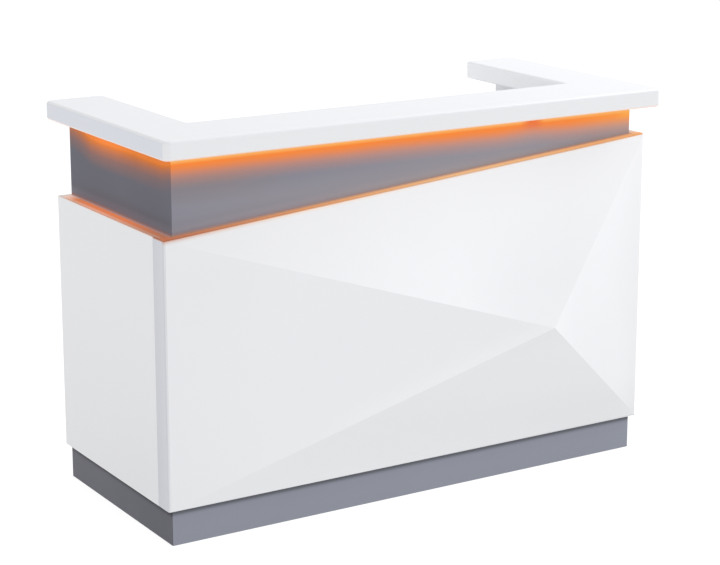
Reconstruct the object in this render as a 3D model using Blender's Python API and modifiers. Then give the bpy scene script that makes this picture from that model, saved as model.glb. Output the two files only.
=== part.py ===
"""Reception desk with a faceted front, a raised transaction counter on three sides, light
strips under the counter and on the ledge, and a drawer pedestal and a cupboard on the
working side.

Metres, +Z up. The origin is on the floor under the middle of the desk. The visitor's side
faces -Y, the working side faces +Y, and +X is to the visitor's right.
"""

import math

import bmesh
import bpy
from mathutils import Matrix, Vector

# ---- driving dimensions -------------------------------------------------------------------
GAP = 0.0003  # gap kept between boards that touch

HEIGHT = 1.054  # top of the transaction counter
COUNTER_LENGTH = 1.534
COUNTER_DEPTH = 0.716
COUNTER_THICK = 0.0505
COUNTER_ARM = 0.172  # width of the two side arms
COUNTER_FRONT = 0.216  # depth of the front board
COUNTER_CORNER = 0.020  # corner radius seen from above
COUNTER_EDGE = 0.009  # rounding of the top and bottom edges

BODY_WIDTH = 1.500
BODY_FRONT = -0.305  # plane of the front panel's four edges
BODY_BACK = 0.327
PLINTH_HEIGHT = 0.096
LEDGE_LEFT = 0.796  # top of the white body at the visitor's left
LEDGE_RIGHT = 0.9195  # and at the visitor's right
PLINTH_RECESS = 0.013  # setback of the plinth behind the white body, in front
PLINTH_RECESS_SIDE = 0.0155
PLINTH_RECESS_BACK = 0.004
BAND_RECESS = 0.023  # setback of the grey band, in front
BAND_RECESS_SIDE = 0.036
BAND_RECESS_BACK = 0.010

FACET_PROUD = 0.036  # apex of the faceted panel in front of its edges
FACET_X = 0.4245  # apex, across
FACET_Z = 0.4135  # apex, up
SLAB = 0.022  # thickness of the faceted slab at its edges
FRONT_EDGE = 0.058  # depth of slab and framing together

BOARD = 0.018
BAND_SIDE = 0.007
INNER_FRONT = 0.025  # thickness of the inner front board
PLINTH_SIDE = 0.025

WORKTOP_TOP = 0.750
WORKTOP_THICK = 0.025
PEDESTAL = 0.360  # clear width of drawer pedestal and cupboard
FRONT_FACE = 0.3165  # outer face of drawer fronts and door
REVEAL = 0.0025  # gap round drawer fronts
ROW_GAP = 0.003

DRAWER_DEPTH = 0.450
DRAWER_WALL = 0.012
DRAWER_FLOOR = 0.008
RAIL_SPACE = 0.013
RAIL_HEIGHT = 0.045
RAIL_GAUGE = 0.0014

HANDLE_SPAN = 0.138
HANDLE_REACH = 0.026
HANDLE_STRIP = 0.005
HANDLE_WIDTH = 0.012

LIGHT_LEDGE_HEIGHT = 0.0024
LIGHT_LEDGE_FRONT = 0.0195  # width of the strip along the front ledge
LIGHT_LEDGE_SIDE = 0.0310  # and along the side ledges
LIGHT_COUNTER_HEIGHT = 0.0085
LIGHT_COUNTER_WIDTH = 0.0150
LIGHT_BACK_END = 0.190  # the strip under the counter's arms stops here

# ---- derived ------------------------------------------------------------------------------
HALF_L = COUNTER_LENGTH / 2
HALF_D = COUNTER_DEPTH / 2
COUNTER_LOW = HEIGHT - COUNTER_THICK
BX = BODY_WIDTH / 2
BAND_X = BX - BAND_RECESS_SIDE
BAND_Y = BODY_FRONT + BAND_RECESS
PLINTH_X = BX - PLINTH_RECESS_SIDE
PLINTH_Y = BODY_FRONT + PLINTH_RECESS
INNER_X = BAND_X - BAND_SIDE  # outer face of the inner side boards
CLEAR_X = INNER_X - BOARD  # inner face of the inner side boards
FRAME_BACK = BODY_FRONT + FRONT_EDGE  # back of the front panel's framing
CARCASS_Y = FRAME_BACK + INNER_FRONT  # inner face of the inner front board
DIVIDER_X = CLEAR_X - PEDESTAL  # face of a divider towards its pedestal
WORKTOP_LOW = WORKTOP_TOP - WORKTOP_THICK
BASE_TOP = PLINTH_HEIGHT + BOARD
FRONT_BACK = FRONT_FACE - BOARD  # inner face of drawer fronts and door


def ledge(x):
    """Height of the white body's top edge at x, along the front."""
    return LEDGE_LEFT + (x + BX) / BODY_WIDTH * (LEDGE_RIGHT - LEDGE_LEFT)


# ---- scene --------------------------------------------------------------------------------
for old in list(bpy.data.objects):
    bpy.data.objects.remove(old, do_unlink=True)

PARTS = bpy.data.collections.new("reception_desk")
CUTTERS = bpy.data.collections.new("cutters")
bpy.context.scene.collection.children.link(PARTS)
bpy.context.scene.collection.children.link(CUTTERS)


def material(name, colour, roughness, metallic=0.0, emission=None):
    mat = bpy.data.materials.new(name)
    mat.use_nodes = True
    shader = mat.node_tree.nodes["Principled BSDF"]
    shader.inputs["Base Color"].default_value = (*colour, 1.0)
    shader.inputs["Roughness"].default_value = roughness
    shader.inputs["Metallic"].default_value = metallic
    if emission:
        shader.inputs["Emission Color"].default_value = (*emission, 1.0)
        shader.inputs["Emission Strength"].default_value = 1.0
    mat.diffuse_color = (*colour, 1.0)
    return mat


WHITE = material("white_lacquer", (0.83, 0.84, 0.86), 0.18)
GREY = material("grey_lacquer", (0.26, 0.27, 0.30), 0.35)
BOARD_WHITE = material("white_board", (0.78, 0.78, 0.79), 0.42)
DRAWER_GREY = material("drawer_board", (0.62, 0.63, 0.65), 0.5)
STEEL = material("brushed_steel", (0.60, 0.60, 0.62), 0.32, 1.0)
ZINC = material("zinc_steel", (0.55, 0.57, 0.60), 0.38, 1.0)
LIGHT = material("orange_light", (0.90, 0.33, 0.07), 0.4, 0.0, (1.0, 0.32, 0.06))
DARK = material("black_plastic", (0.03, 0.03, 0.033), 0.45)
SHELL = material("grey_plastic", (0.45, 0.46, 0.48), 0.5)


def adopt(obj, mat, collection=PARTS, parent=None):
    """Puts an object in its collection, gives it its finish and hangs it on its parent."""
    for held in list(obj.users_collection):
        held.objects.unlink(obj)
    collection.objects.link(obj)
    if mat:
        obj.data.materials.clear()
        obj.data.materials.append(mat)
    if parent:
        obj.parent = parent
        obj.location = obj.location - Vector(origin_of(parent))
    return obj


def origin_of(empty):
    """Place of an axis empty, which may hang on another one."""
    place = Vector(empty.location)
    while empty.parent:
        empty = empty.parent
        place += Vector(empty.location)
    return place


def axis_empty(name, place, parent=None):
    empty = bpy.data.objects.new(name, None)
    empty.empty_display_size = 0.03
    empty.location = place
    PARTS.objects.link(empty)
    if parent:
        empty.parent = parent
        empty.location = Vector(place) - origin_of(parent)
    return empty


def box(name, low, high, mat, parent=None, collection=PARTS):
    low, high = Vector(low), Vector(high)
    bpy.ops.mesh.primitive_cube_add(size=1.0, location=(low + high) / 2)
    obj = bpy.context.object
    obj.name = obj.data.name = name
    obj.data.transform(Matrix.Diagonal((*(high - low), 1.0)))
    return adopt(obj, mat, collection, parent)


def cylinder(name, centre, axis, radius, length, mat, parent=None, collection=PARTS, sides=32):
    bpy.ops.mesh.primitive_cylinder_add(vertices=sides, radius=radius, depth=length, location=centre)
    obj = bpy.context.object
    obj.name = obj.data.name = name
    if axis == "X":
        obj.rotation_euler = (0.0, math.pi / 2, 0.0)
    elif axis == "Y":
        obj.rotation_euler = (math.pi / 2, 0.0, 0.0)
    obj.data.shade_smooth()
    obj.data.set_sharp_from_angle(angle=math.radians(40))
    return adopt(obj, mat, collection, parent)


TURN = {"Z": (0.0, 0.0, 0.0), "Y": (math.pi / 2, 0.0, 0.0), "X": (math.pi / 2, 0.0, math.pi / 2)}


def outline(name, points, axis, low, high, mat, parent=None, collection=PARTS):
    """A flat outline with thickness. Points are (x, y) for axis Z, (x, z) for Y, (y, z) for X."""
    curve = bpy.data.curves.new(name, "CURVE")
    curve.dimensions = "2D"
    curve.fill_mode = "BOTH"
    curve.extrude = (high - low) / 2
    spline = curve.splines.new("POLY")
    spline.points.add(len(points) - 1)
    for point, (u, v) in zip(spline.points, points):
        point.co = (u, v, 0.0, 1.0)
    spline.use_cyclic_u = True
    flat = bpy.data.objects.new(name + "_outline", curve)
    bpy.context.scene.collection.objects.link(flat)
    bpy.context.view_layer.update()
    evaluated = flat.evaluated_get(bpy.context.evaluated_depsgraph_get())
    mesh = bpy.data.meshes.new_from_object(evaluated)
    bpy.data.objects.remove(flat, do_unlink=True)
    bpy.data.curves.remove(curve)
    mesh.name = name
    bm = bmesh.new()
    bm.from_mesh(mesh)
    bmesh.ops.remove_doubles(bm, verts=bm.verts, dist=1e-6)
    bmesh.ops.dissolve_limit(bm, angle_limit=math.radians(0.05), verts=bm.verts, edges=bm.edges)
    bmesh.ops.recalc_face_normals(bm, faces=bm.faces)
    bm.to_mesh(mesh)
    bm.free()
    obj = bpy.data.objects.new(name, mesh)
    middle = (low + high) / 2
    obj.location = {"Z": (0, 0, middle), "Y": (0, middle, 0), "X": (middle, 0, 0)}[axis]
    obj.rotation_euler = TURN[axis]
    bpy.context.scene.collection.objects.link(obj)
    return adopt(obj, mat, collection, parent)


def boolean(obj, tool, operation="DIFFERENCE"):
    """Cuts a tool out of a piece, or joins it on. The tool stays as a hidden helper."""
    tool.hide_render = True
    tool.display_type = "WIRE"
    step = obj.modifiers.new(tool.name, "BOOLEAN")
    step.operation = operation
    step.solver = "EXACT"
    step.object = tool
    return obj


def rounded(points, radii, steps=4):
    """An outline with an arc of the given radius at each corner, 0 for a sharp one."""
    out = []
    count = len(points)
    for i, (point, radius) in enumerate(zip(points, radii)):
        here = Vector(point)
        if radius <= 0:
            out.append(tuple(here))
            continue
        back = (Vector(points[i - 1]) - here).normalized()
        ahead = (Vector(points[(i + 1) % count]) - here).normalized()
        half = back.angle(ahead) / 2
        centre = here + (back + ahead).normalized() * (radius / math.sin(half))
        start = here + back * (radius / math.tan(half)) - centre
        end = here + ahead * (radius / math.tan(half)) - centre
        turn = start.angle_signed(end)
        for k in range(steps + 1):
            spoke = start.copy()
            spoke.rotate(Matrix.Rotation(-turn * k / steps, 2))
            out.append(tuple(centre + spoke))
    return out


def soften(obj, width, segments, chosen):
    """Rounds those edges whose two ends, in the piece's own frame, the rule picks."""
    bm = bmesh.new()
    bm.from_mesh(obj.data)
    picked = [edge for edge in bm.edges if chosen(edge)]
    bmesh.ops.bevel(
        bm, geom=picked, offset=width, segments=segments, profile=0.5, affect="EDGES", clamp_overlap=True
    )
    bm.to_mesh(obj.data)
    bm.free()


# ---- plinth -------------------------------------------------------------------------------
plinth_high = PLINTH_HEIGHT - GAP
plinth_back = BODY_BACK - PLINTH_RECESS_BACK
box("plinth_front", (-PLINTH_X, PLINTH_Y, 0), (PLINTH_X, PLINTH_Y + BOARD, plinth_high), GREY)
for side, name in ((-1, "plinth_left"), (1, "plinth_right")):
    a, b = sorted((side * PLINTH_X, side * (PLINTH_X - PLINTH_SIDE)))
    box(name, (a, PLINTH_Y + BOARD + GAP, 0), (b, plinth_back, plinth_high), GREY)
rear_y = BODY_BACK - 0.069
for side, name in ((-1, "plinth_rear_left"), (1, "plinth_rear_right")):
    a, b = sorted((side * (PLINTH_X - PLINTH_SIDE - GAP), side * (DIVIDER_X + GAP)))
    box(name, (a, rear_y, 0), (b, rear_y + BOARD, plinth_high), GREY)

# ---- faceted front panel and the frame behind it --------------------------------------------
# The slab's front is poked into four facets that meet at an apex in front of its edges.
slab = outline(
    "front_panel",
    [(-BX, PLINTH_HEIGHT), (BX, PLINTH_HEIGHT), (BX, LEDGE_RIGHT), (-BX, LEDGE_LEFT)],
    "Y", BODY_FRONT, BODY_FRONT + SLAB, WHITE,
)
bm = bmesh.new()
bm.from_mesh(slab.data)
bm.faces.ensure_lookup_table()
front_face = max(bm.faces, key=lambda face: face.normal.z)  # local +Z is towards the visitor
poked = bmesh.ops.poke(bm, faces=[front_face])
poked["verts"][0].co = (FACET_X, FACET_Z, SLAB / 2 + FACET_PROUD)
bmesh.ops.recalc_face_normals(bm, faces=bm.faces)
bm.to_mesh(slab.data)
bm.free()

frame_front = BODY_FRONT + SLAB + GAP
outline(
    "front_rail_top",
    [(-BX, LEDGE_LEFT - BOARD), (BX, LEDGE_RIGHT - BOARD), (BX, LEDGE_RIGHT), (-BX, LEDGE_LEFT)],
    "Y", frame_front, FRAME_BACK, WHITE,
)
outline(
    "front_rail_bottom",
    [(-BX, PLINTH_HEIGHT), (BX, PLINTH_HEIGHT), (BX, BASE_TOP), (-BX, BASE_TOP)],
    "Y", frame_front, FRAME_BACK, WHITE,
)
for side, name in ((-1, "front_stile_left"), (1, "front_stile_right")):
    a, b = sorted((side * BX, side * (BX - 0.040)))
    outline(
        name,
        [(a, BASE_TOP + GAP), (b, BASE_TOP + GAP), (b, ledge(b) - BOARD - GAP), (a, ledge(a) - BOARD - GAP)],
        "Y", frame_front, FRAME_BACK, WHITE,
    )

# ---- white side panels, grey band and inner boards --------------------------------------------
inner_low = PLINTH_HEIGHT + GAP
under_counter = COUNTER_LOW - GAP
side_front = FRAME_BACK + GAP
for side, name, top in ((-1, "side_panel_left", LEDGE_LEFT + 0.0020), (1, "side_panel_right", LEDGE_RIGHT)):
    a, b = sorted((side * BX, side * (INNER_X + GAP)))
    box(name, (a, side_front, PLINTH_HEIGHT), (b, BODY_BACK, top), WHITE)
    band = name.replace("side_panel", "band")
    a, b = sorted((side * BAND_X, side * (INNER_X + GAP)))
    box(band, (a, side_front, top + GAP), (b, BODY_BACK - BAND_RECESS_BACK, under_counter), GREY)
    inner = name.replace("side_panel", "inner_side")
    a, b = sorted((side * INNER_X, side * CLEAR_X))
    box(inner, (a, side_front, inner_low), (b, BODY_BACK, under_counter), BOARD_WHITE)

outline(
    "band_front",
    [(-BAND_X, ledge(-BAND_X) + GAP), (BAND_X, ledge(BAND_X) + GAP), (BAND_X, under_counter), (-BAND_X, under_counter)],
    "Y", BAND_Y, FRAME_BACK, GREY,
)
box(
    "inner_front_board",
    (-CLEAR_X + GAP, side_front, 0), (CLEAR_X - GAP, CARCASS_Y, under_counter), BOARD_WHITE,
)

# ---- counter: a front board and two arms, butted together -------------------------------------
joint_y = -HALF_D + COUNTER_FRONT
arm_x = HALF_L - COUNTER_ARM
front_board = outline(
    "counter_front",
    rounded(
        [(-HALF_L, -HALF_D), (HALF_L, -HALF_D), (HALF_L, joint_y), (-HALF_L, joint_y)],
        [COUNTER_CORNER, COUNTER_CORNER, 0, 0],
    ),
    "Z", COUNTER_LOW, HEIGHT, WHITE,
)


# The front board's inner edge shows only between the arms, so it is cut at both arms first.
bm = bmesh.new()
bm.from_mesh(front_board.data)
for cut_x in (-arm_x, arm_x):
    bmesh.ops.bisect_plane(
        bm, geom=bm.verts[:] + bm.edges[:] + bm.faces[:], plane_co=(cut_x, 0, 0), plane_no=(1, 0, 0)
    )
bm.to_mesh(front_board.data)
bm.free()


def front_rim(edge):
    a, b = edge.verts[0].co, edge.verts[1].co
    if abs(a.z - b.z) > 1e-6:
        return False
    if abs(a.y - joint_y) < 1e-5 and abs(b.y - joint_y) < 1e-5:
        return max(abs(a.x), abs(b.x)) < arm_x + 1e-4
    return not (abs(abs(a.x) - arm_x) < 1e-5 and abs(abs(b.x) - arm_x) < 1e-5)


soften(front_board, COUNTER_EDGE, 3, front_rim)
for side, name in ((-1, "counter_left"), (1, "counter_right")):
    corners = [
        (side * HALF_L, joint_y + GAP), (side * arm_x, joint_y + GAP), (side * arm_x, HALF_D), (side * HALF_L, HALF_D)
    ]
    radii = [0, 0, COUNTER_CORNER, COUNTER_CORNER]
    if side > 0:
        corners, radii = corners[::-1], radii[::-1]
    arm = outline(name, rounded(corners, radii), "Z", COUNTER_LOW, HEIGHT, WHITE)

    def arm_rim(edge):
        a, b = edge.verts[0].co, edge.verts[1].co
        level = abs(a.z - b.z) < 1e-6
        on_joint = abs(a.y - joint_y - GAP) < 1e-5 and abs(b.y - joint_y - GAP) < 1e-5
        return level and not on_joint

    soften(arm, COUNTER_EDGE, 3, arm_rim)

# ---- worktop, dividers, bases, shelf --------------------------------------------------------
board_x = CLEAR_X - GAP
board_front = CARCASS_Y + GAP
GROMMET = (0.470, -0.180)
worktop = box("worktop", (-board_x, board_front, WORKTOP_LOW), (board_x, BODY_BACK, WORKTOP_TOP), BOARD_WHITE)
boolean(
    worktop,
    cylinder("worktop_hole", (*GROMMET, WORKTOP_TOP), "Z", 0.0303, 0.1, None, collection=CUTTERS, sides=40),
)
profile = bpy.data.meshes.new("worktop_grommet")
bm = bmesh.new()
ring = [bm.verts.new((r, 0.0, z)) for r, z in (
    (0.0300, -0.0200), (0.0260, -0.0200), (0.0260, 0.0020), (0.0275, 0.0032), (0.0335, 0.0022), (0.0345, 0.0003), (0.0300, 0.0003)
)]
for start, end in zip(ring, ring[1:] + ring[:1]):
    bm.edges.new((start, end))
bm.to_mesh(profile)
bm.free()
grommet = bpy.data.objects.new("worktop_grommet", profile)
grommet.location = (*GROMMET, WORKTOP_TOP)
bpy.context.scene.collection.objects.link(grommet)
adopt(grommet, DARK)
turned = grommet.modifiers.new("turned", "SCREW")
turned.steps = turned.render_steps = 40
turned.use_merge_vertices = True
turned.merge_threshold = 1e-5
turned.use_smooth_shade = True

for side, word in ((-1, "left"), (1, "right")):
    a, b = sorted((side * DIVIDER_X, side * (DIVIDER_X - BOARD)))
    box(f"divider_{word}", (a, board_front, 0), (b, BODY_BACK, WORKTOP_LOW - GAP), BOARD_WHITE)
    a, b = sorted((side * (DIVIDER_X + GAP), side * board_x))
    box(f"base_{word}", (a, board_front, inner_low), (b, BODY_BACK, BASE_TOP), BOARD_WHITE)
box(
    "cupboard_shelf",
    (DIVIDER_X + GAP, board_front, 0.412), (board_x, BODY_BACK - 0.049, 0.430), BOARD_WHITE,
)

# ---- lights -----------------------------------------------------------------------------------
# Under the counter: one strip that runs round the band, close in front of it.
outer_x, outer_y = BAND_X + 0.0075 + LIGHT_COUNTER_WIDTH, BAND_Y - 0.0075 - LIGHT_COUNTER_WIDTH
inner_x, inner_y = BAND_X + 0.0075, BAND_Y - 0.0075
outline(
    "led_strip_counter",
    [(-outer_x, LIGHT_BACK_END), (-outer_x, outer_y), (outer_x, outer_y), (outer_x, LIGHT_BACK_END),
     (inner_x, LIGHT_BACK_END), (inner_x, inner_y), (-inner_x, inner_y), (-inner_x, LIGHT_BACK_END)],
    "Z", under_counter - LIGHT_COUNTER_HEIGHT, under_counter, LIGHT,
)
# On the ledge: level along both sides, and rising with the ledge along the front.
strip_y = BAND_Y - 0.0010
strip_x = BAND_X + 0.0012
far_x, far_y = strip_x + LIGHT_LEDGE_SIDE, strip_y - LIGHT_LEDGE_FRONT
strip = outline(
    "led_strip_ledge",
    [(-far_x, ledge(-far_x) + 0.0012), (far_x, ledge(far_x) + 0.0012),
     (far_x, ledge(far_x) + LIGHT_LEDGE_HEIGHT + 0.0012), (-far_x, ledge(-far_x) + LIGHT_LEDGE_HEIGHT + 0.0012)],
    "Y", far_y, strip_y, LIGHT,
)
for side, low in ((-1, ledge(-strip_x) + GAP), (1, LEDGE_RIGHT + 0.0006)):
    a, b = sorted((side * strip_x, side * far_x))
    run = box(
        "ledge_run_left" if side < 0 else "ledge_run_right",
        (a, far_y + 0.0005, low), (b, BODY_BACK - 0.030, low + LIGHT_LEDGE_HEIGHT - 0.0004), None, collection=CUTTERS,
    )
    boolean(strip, run, "UNION")

driver = box("led_driver", (-0.100, board_front, 0.930), (0.070, board_front + 0.030, 0.972), SHELL)
boolean(
    driver,
    box("driver_inlet", (-0.110, board_front + 0.008, 0.944), (-0.086, board_front + 0.022, 0.958), None, collection=CUTTERS),
)

SWITCH_X, SWITCH_Z = 0.185, 0.951
switch_face = board_front + 0.020
housing = box(
    "led_switch_housing",
    (SWITCH_X - 0.025, board_front, SWITCH_Z - 0.017), (SWITCH_X + 0.025, switch_face, SWITCH_Z + 0.017), SHELL,
)
pivot_y = switch_face - 0.0005
boolean(
    housing,
    box(
        "switch_pocket",
        (SWITCH_X - 0.0165, pivot_y - 0.0125, SWITCH_Z - 0.0120), (SWITCH_X + 0.0165, switch_face + 0.01, SWITCH_Z + 0.0120),
        None, collection=CUTTERS,
    ),
)
# The rocker is a half round about its pivot, with two faces that meet in a shallow valley.
rest_tilt = math.radians(-8.0)
rocker_pivot = axis_empty("led_switch_axis", (SWITCH_X, pivot_y, SWITCH_Z))
section = [(0.0032, -0.0100), (0.0018, 0.0), (0.0032, 0.0100)]
section += [(0.0106 * math.cos(t), 0.0106 * math.sin(t)) for t in (math.radians(90 + 15 * k) for k in range(13))]
section = [
    (pivot_y + u * math.cos(rest_tilt) - v * math.sin(rest_tilt), SWITCH_Z + u * math.sin(rest_tilt) + v * math.cos(rest_tilt))
    for u, v in section
]
outline("led_switch_rocker", section, "X", SWITCH_X - 0.0160, SWITCH_X + 0.0160, DARK, parent=rocker_pivot)


# ---- handles ----------------------------------------------------------------------------------
def handle(name, centre, upright, parent):
    """A bow bent from flat strip, its two feet on the face behind it."""
    half, reach, t = HANDLE_SPAN / 2, HANDLE_REACH, HANDLE_STRIP
    bow = [(-half, 0), (-half, reach), (half, reach), (half, 0), (half - t, 0), (half - t, reach - t), (-half + t, reach - t), (-half + t, 0)]
    bow = rounded(bow, [0, 0.009, 0.009, 0, 0, 0.004, 0.004, 0], steps=4)
    face = FRONT_FACE + GAP
    if upright:
        points = [(face + v - GAP, centre[1] + u) for u, v in bow]
        low, high = centre[0] - HANDLE_WIDTH / 2, centre[0] + HANDLE_WIDTH / 2
        return outline(name, points, "X", low, high, STEEL, parent=parent)
    points = [(centre[0] + u, face + v - GAP) for u, v in bow]
    low, high = centre[1] - HANDLE_WIDTH / 2, centre[1] + HANDLE_WIDTH / 2
    return outline(name, points, "Z", low, high, STEEL, parent=parent)


def lock(name, front, x, z, parent):
    """A key plug in a bore through its front, with a keyway across its face."""
    bore = cylinder(name + "_bore", (x, FRONT_FACE - BOARD / 2, z), "Y", 0.0063, 0.05, None, parent, CUTTERS, sides=28)
    boolean(front, bore)
    axis = axis_empty(name + "_axis", (x, FRONT_FACE, z), parent)
    low, high = FRONT_BACK + 0.0010, FRONT_FACE + 0.0025
    plug = cylinder(name, (x, (low + high) / 2, z), "Y", 0.0060, high - low, STEEL, axis, sides=28)
    keyway = box(
        name + "_keyway", (x - 0.0009, high - 0.0050, z - 0.0042), (x + 0.0009, high + 0.01, z + 0.0042), None, axis, CUTTERS
    )
    return boolean(plug, keyway)


# ---- drawer pedestal --------------------------------------------------------------------------
ped_low, ped_high = -CLEAR_X, -DIVIDER_X
ped_mid = (ped_low + ped_high) / 2
clear_height = WORKTOP_LOW - BASE_TOP
front_small = 0.1500
front_large = clear_height - 4 * ROW_GAP - 2 * front_small
rows = (
    ("low", BASE_TOP + ROW_GAP, front_large, 0.240),
    ("mid", BASE_TOP + 2 * ROW_GAP + front_large, front_small, 0.103),
    ("top", BASE_TOP + 3 * ROW_GAP + front_large + front_small, front_small, 0.103),
)


def channel(x_web, x_lip, z, half, gauge):
    """A rail section: a web at x_web with two flanges that reach to x_lip."""
    inward = math.copysign(gauge, x_lip - x_web)
    return [
        (x_web, z - half), (x_lip, z - half), (x_lip, z - half + gauge), (x_web + inward, z - half + gauge),
        (x_web + inward, z + half - gauge), (x_lip, z + half - gauge), (x_lip, z + half), (x_web, z + half),
    ]


for row, low, tall, box_tall in rows:
    name = f"drawer_{row}"
    slide = axis_empty(f"{name}_slide", (ped_mid, FRONT_FACE, low + tall / 2))
    front = box(
        f"{name}_front", (ped_low + REVEAL, FRONT_BACK, low), (ped_high - REVEAL, FRONT_FACE, low + tall), BOARD_WHITE, slide
    )
    left, right = ped_low + RAIL_SPACE, ped_high - RAIL_SPACE
    back_y, front_y = FRONT_BACK - GAP - DRAWER_DEPTH, FRONT_BACK - GAP
    floor = low + 0.020
    tray = box(f"{name}_box", (left, back_y, floor), (right, front_y, floor + box_tall), DRAWER_GREY, slide)
    hollow = box(
        f"{name}_hollow",
        (left + DRAWER_WALL, back_y + DRAWER_WALL, floor + DRAWER_FLOOR),
        (right - DRAWER_WALL, front_y - DRAWER_WALL, floor + box_tall + 0.1), None, slide, CUTTERS,
    )
    boolean(tray, hollow)
    handle(f"{name}_handle", (ped_mid, low + tall / 2), False, slide)
    rail_z = floor + min(0.050, box_tall / 2)
    half = RAIL_HEIGHT / 2
    for side, word in ((-1, "left"), (1, "right")):
        wall = (ped_low + GAP) if side < 0 else (ped_high - GAP)
        tray_face = (left - GAP) if side < 0 else (right + GAP)
        inward = -side
        outline(
            f"{name}_rail_fixed_{word}", channel(wall, wall + inward * 0.0090, rail_z, half, RAIL_GAUGE),
            "Y", back_y, front_y - 0.002, ZINC,
        )
        outline(
            f"{name}_rail_{word}", channel(tray_face, tray_face - inward * 0.0096, rail_z, half - 0.0032, RAIL_GAUGE),
            "Y", back_y, front_y - 0.002, ZINC, slide,
        )
    if row == "top":
        lock("drawer_lock", front, ped_high - 0.036, low + tall - 0.030, slide)

# ---- cupboard door on two pivots -------------------------------------------------------------
hinge_gap = 0.0042
pivot = Vector((CLEAR_X - hinge_gap - BOARD / 2, FRONT_FACE - BOARD / 2, 0.0))
door_low, door_high = BASE_TOP + ROW_GAP, WORKTOP_LOW - ROW_GAP
door_axis = axis_empty("door_axis", (pivot.x, pivot.y, door_low))
door = box(
    "door", (DIVIDER_X + REVEAL, FRONT_BACK, door_low), (CLEAR_X - hinge_gap, FRONT_FACE, door_high), BOARD_WHITE, door_axis
)
handle("door_handle", (DIVIDER_X + 0.040, 0.585), True, door_axis)
lock("door_lock", door, DIVIDER_X + 0.040, door_high - 0.030, door_axis)
for word, face, up in (("bottom", BASE_TOP + GAP, 1), ("top", WORKTOP_LOW - GAP, -1)):
    plate_low, plate_high = sorted((face, face + up * 0.0018))
    plate = box(
        f"door_pivot_{word}", (pivot.x - 0.026, pivot.y - 0.007, plate_low), (pivot.x + 0.008, pivot.y + 0.007, plate_high), ZINC
    )
    pin_low, pin_high = sorted((face + up * 0.0009, face + up * 0.0125))
    pin = cylinder(
        f"pivot_pin_{word}", (pivot.x, pivot.y, (pin_low + pin_high) / 2), "Z", 0.0030, pin_high - pin_low, None,
        collection=CUTTERS, sides=24,
    )
    boolean(plate, pin, "UNION")
    bore = cylinder(
        f"door_bore_{word}", (pivot.x, pivot.y, door_low if up > 0 else door_high), "Z", 0.0034, 0.028, None, door_axis, CUTTERS, sides=24
    )
    boolean(door, bore)
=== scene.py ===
"""Looks of the reception desk: finishes for every board, fitting and light, finer meshes for the
counter and the faceted front, the small fittings, a plain pale floor, soft studio light and the
camera. Metres, in the desk's own frame: the visitor's side faces -Y, +X is to the visitor's right."""

import math

import bmesh
import bpy
from mathutils import Matrix, Vector


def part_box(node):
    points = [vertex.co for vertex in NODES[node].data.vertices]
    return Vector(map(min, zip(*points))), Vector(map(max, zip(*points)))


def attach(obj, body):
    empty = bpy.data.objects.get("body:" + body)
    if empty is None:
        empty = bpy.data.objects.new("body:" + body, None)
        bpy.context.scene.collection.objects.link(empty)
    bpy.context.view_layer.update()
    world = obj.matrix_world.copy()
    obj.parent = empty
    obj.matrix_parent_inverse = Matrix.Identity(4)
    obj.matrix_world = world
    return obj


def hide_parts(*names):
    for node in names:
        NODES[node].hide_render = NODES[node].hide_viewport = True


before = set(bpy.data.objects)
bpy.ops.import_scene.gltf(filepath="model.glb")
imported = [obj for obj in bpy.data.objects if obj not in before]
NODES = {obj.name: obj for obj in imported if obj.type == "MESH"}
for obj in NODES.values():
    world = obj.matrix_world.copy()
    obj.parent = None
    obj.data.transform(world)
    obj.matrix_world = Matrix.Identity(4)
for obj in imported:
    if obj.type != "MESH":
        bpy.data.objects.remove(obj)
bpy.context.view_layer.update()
scene = bpy.context.scene

# ---- sizes shared with the construction ---------------------------------------------------------
BODY_X = 0.750  # half width of the white body
BODY_FRONT = -0.305  # plane of the front panel's four edges
FRAME_BACK = -0.247  # back of the front panel's framing
BODY_LOW = 0.096
LEDGE_LEFT, LEDGE_RIGHT = 0.796, 0.9195
APEX = Vector((0.4245, -0.341, 0.4135))
UNDERSIDE = 1.0035  # of the counter


def ledge(x):
    """Height of the white body's top edge at x, along the front."""
    return LEDGE_LEFT + (x + BODY_X) / (2 * BODY_X) * (LEDGE_RIGHT - LEDGE_LEFT)


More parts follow.
